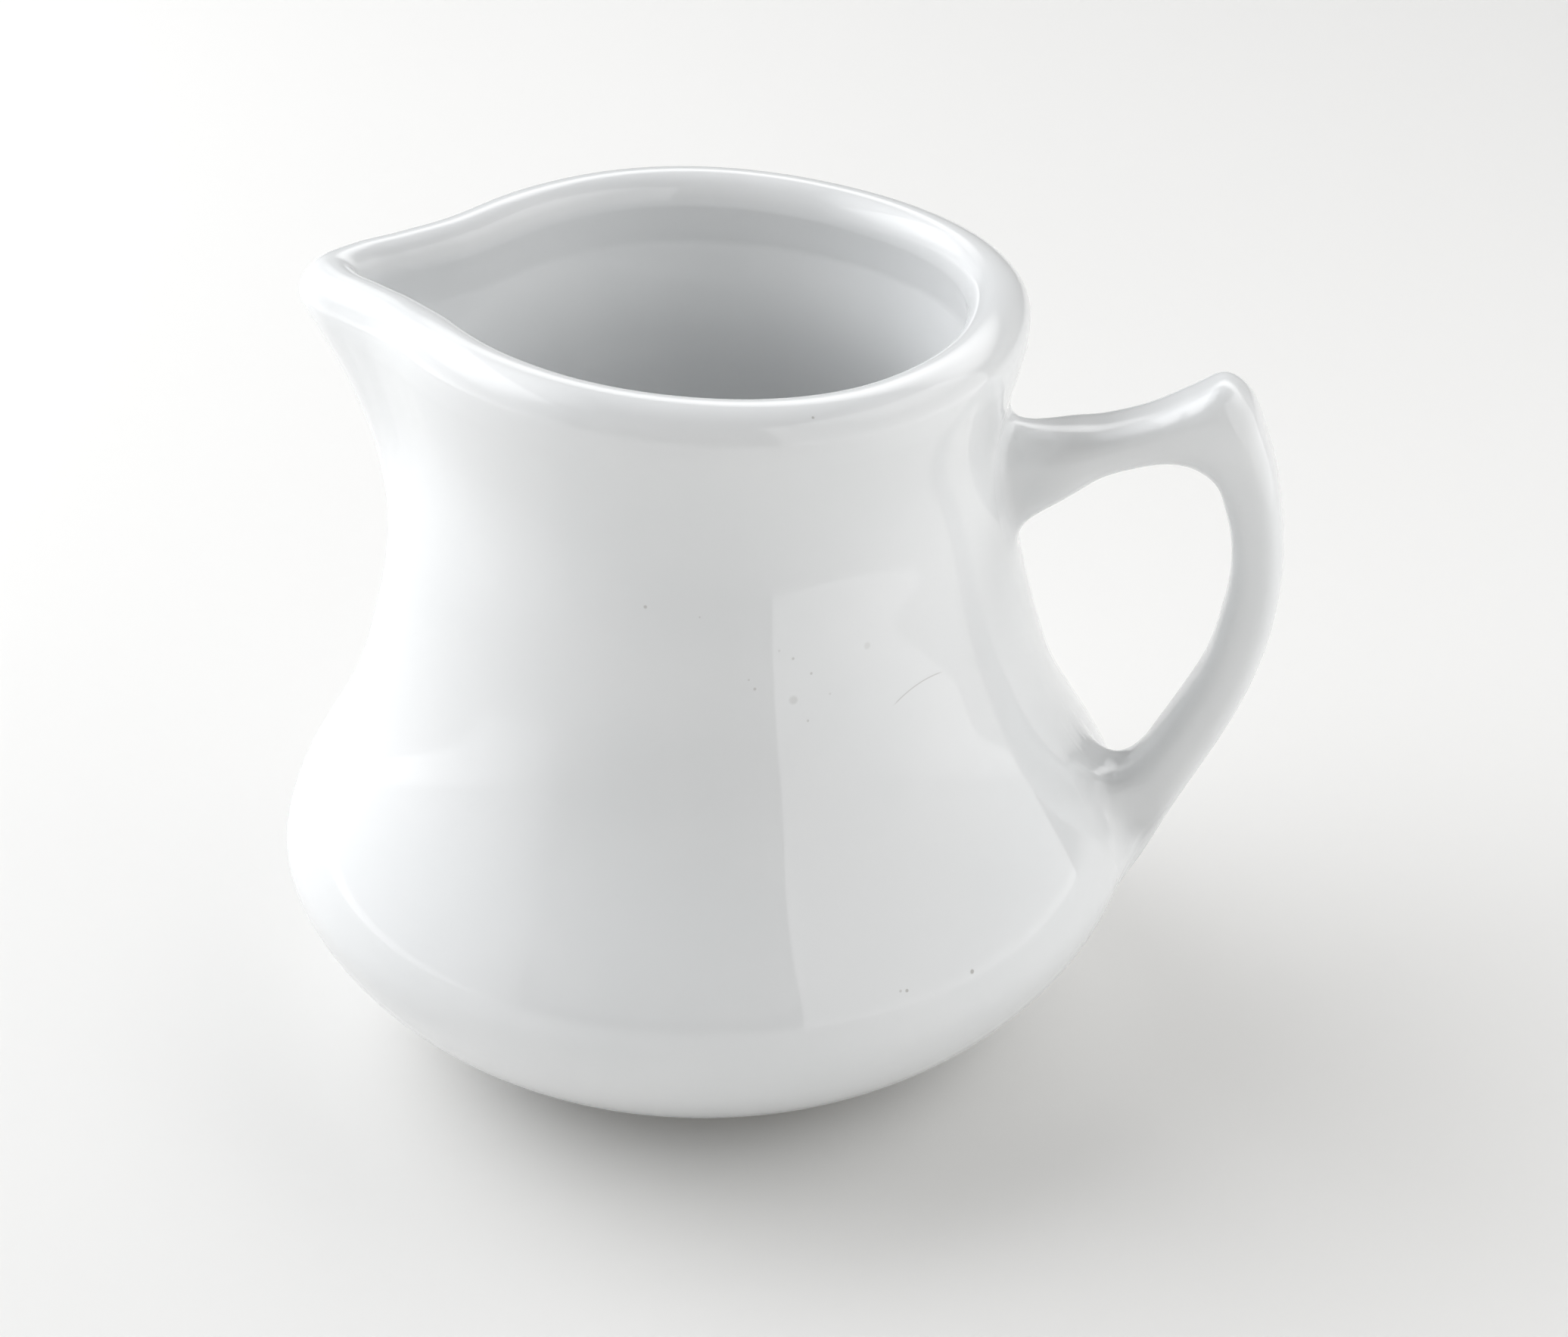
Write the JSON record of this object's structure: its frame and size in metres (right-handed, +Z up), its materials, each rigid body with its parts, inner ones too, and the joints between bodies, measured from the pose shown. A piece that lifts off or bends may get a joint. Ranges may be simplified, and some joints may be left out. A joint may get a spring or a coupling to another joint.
{
  "type": "cream pitcher",
  "caption": "Small white glazed ceramic cream pitcher with a bell-shaped body, rolled rim, pinched pouring spout, strap handle with a thumb rest, and an unglazed foot ring.",
  "frame": {"origin": "the middle of the foot ring's resting face, on the table, on the body's own axis", "axes": "+Z up along the body's axis; +X from the axis out through the handle; the spout points along -X; the XZ plane divides the pitcher into two mirrored halves"},
  "size_m": [0.0893, 0.0774, 0.0728],
  "materials": {
    "glaze": "clear gloss glaze over white china clay",
    "unglazed_foot": "bare fired clay, ground flat and matt"
  },
  "bodies": {
    "root": {"body": "glaze", "handle": "glaze", "upper_slip_joint": "glaze", "lower_slip_joint": "glaze", "foot_ring": "unglazed_foot"}
  },
  "joints": []
}
